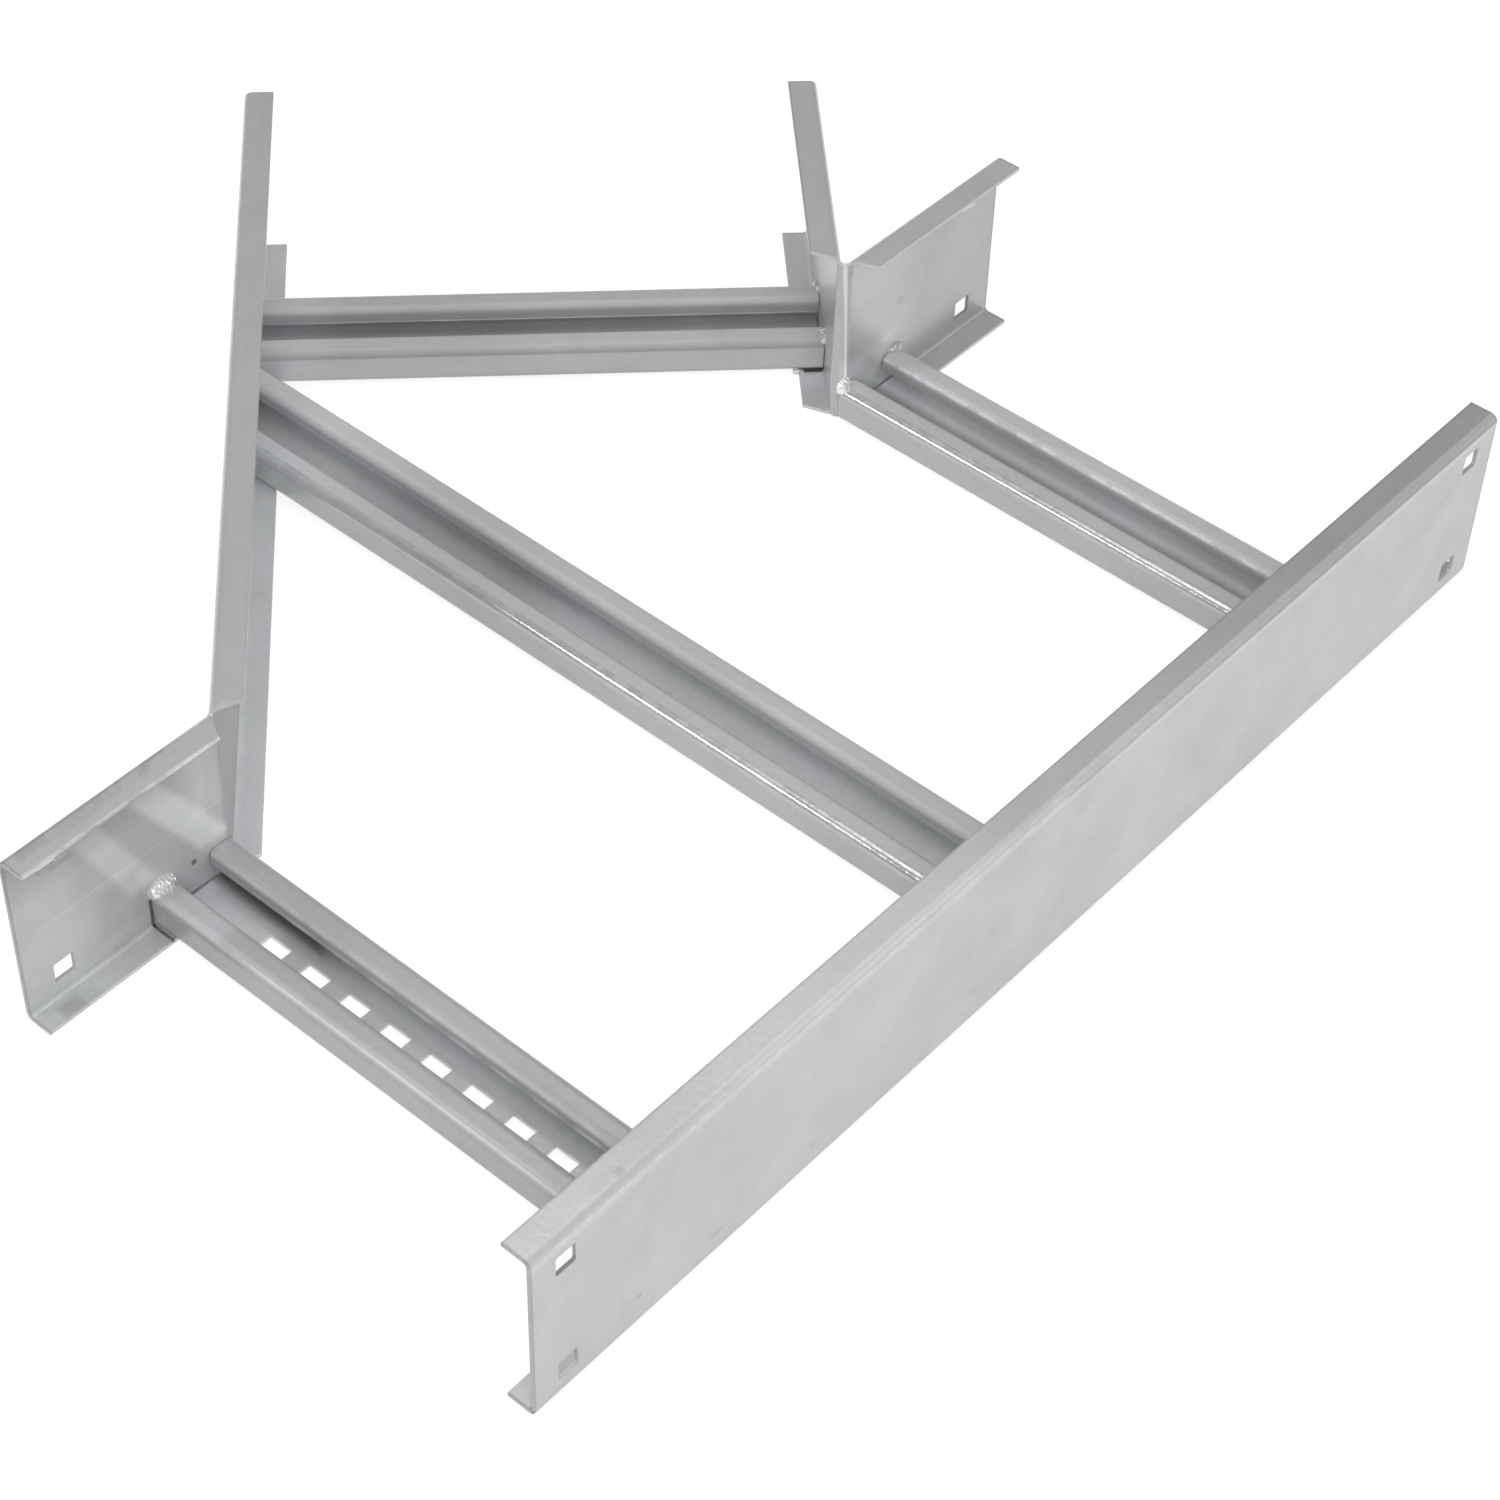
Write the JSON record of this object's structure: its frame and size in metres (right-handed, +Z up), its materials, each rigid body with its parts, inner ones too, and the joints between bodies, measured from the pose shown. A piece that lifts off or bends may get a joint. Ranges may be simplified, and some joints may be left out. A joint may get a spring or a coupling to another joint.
{
  "type": "cable ladder branch fitting",
  "caption": "Welded cable ladder fitting: flanged side rails and open channel rungs make a straight run with a slanted branch leaving one side.",
  "frame": {"origin": "middle of the fitting's box in plan, on the plane that the bottom flanges lie on", "axes": "+X along the straight side rail, from the end whose rung has slots to the other end; +Y across the run towards the branch; +Z up, from the bottom flanges to the top flanges"},
  "size_m": [0.656, 0.6182, 0.1],
  "materials": {
    "galvanised_sheet": "satin zinc-coated sheet with faint rolling streaks and cloudy grey patches",
    "zinc_weld": "short rippled weld beads under zinc paint, glossier than the sheet"
  },
  "bodies": {
    "root": {"straight_rail": "galvanised_sheet", "left_branch_rail": "galvanised_sheet", "right_branch_rail": "galvanised_sheet", "slotted_rung": "galvanised_sheet", "long_rung": "galvanised_sheet", "branch_rung": "galvanised_sheet", "end_rung": "galvanised_sheet", "weld_slotted_rung_straight_near": "zinc_weld", "weld_slotted_rung_straight_far": "zinc_weld", "weld_slotted_rung_left_near": "zinc_weld", "weld_slotted_rung_left_far": "zinc_weld", "weld_long_rung_straight_near": "zinc_weld", "weld_long_rung_straight_far": "zinc_weld", "weld_long_rung_left_near": "zinc_weld", "weld_long_rung_left_far": "zinc_weld", "weld_branch_rung_right_near": "zinc_weld", "weld_branch_rung_right_far": "zinc_weld", "weld_branch_rung_left_near": "zinc_weld", "weld_branch_rung_left_far": "zinc_weld", "weld_end_rung_straight_near": "zinc_weld", "weld_end_rung_straight_far": "zinc_weld", "weld_end_rung_right_near": "zinc_weld", "weld_end_rung_right_far": "zinc_weld", "weld_branch_rung_right_foot": "zinc_weld"}
  },
  "joints": []
}
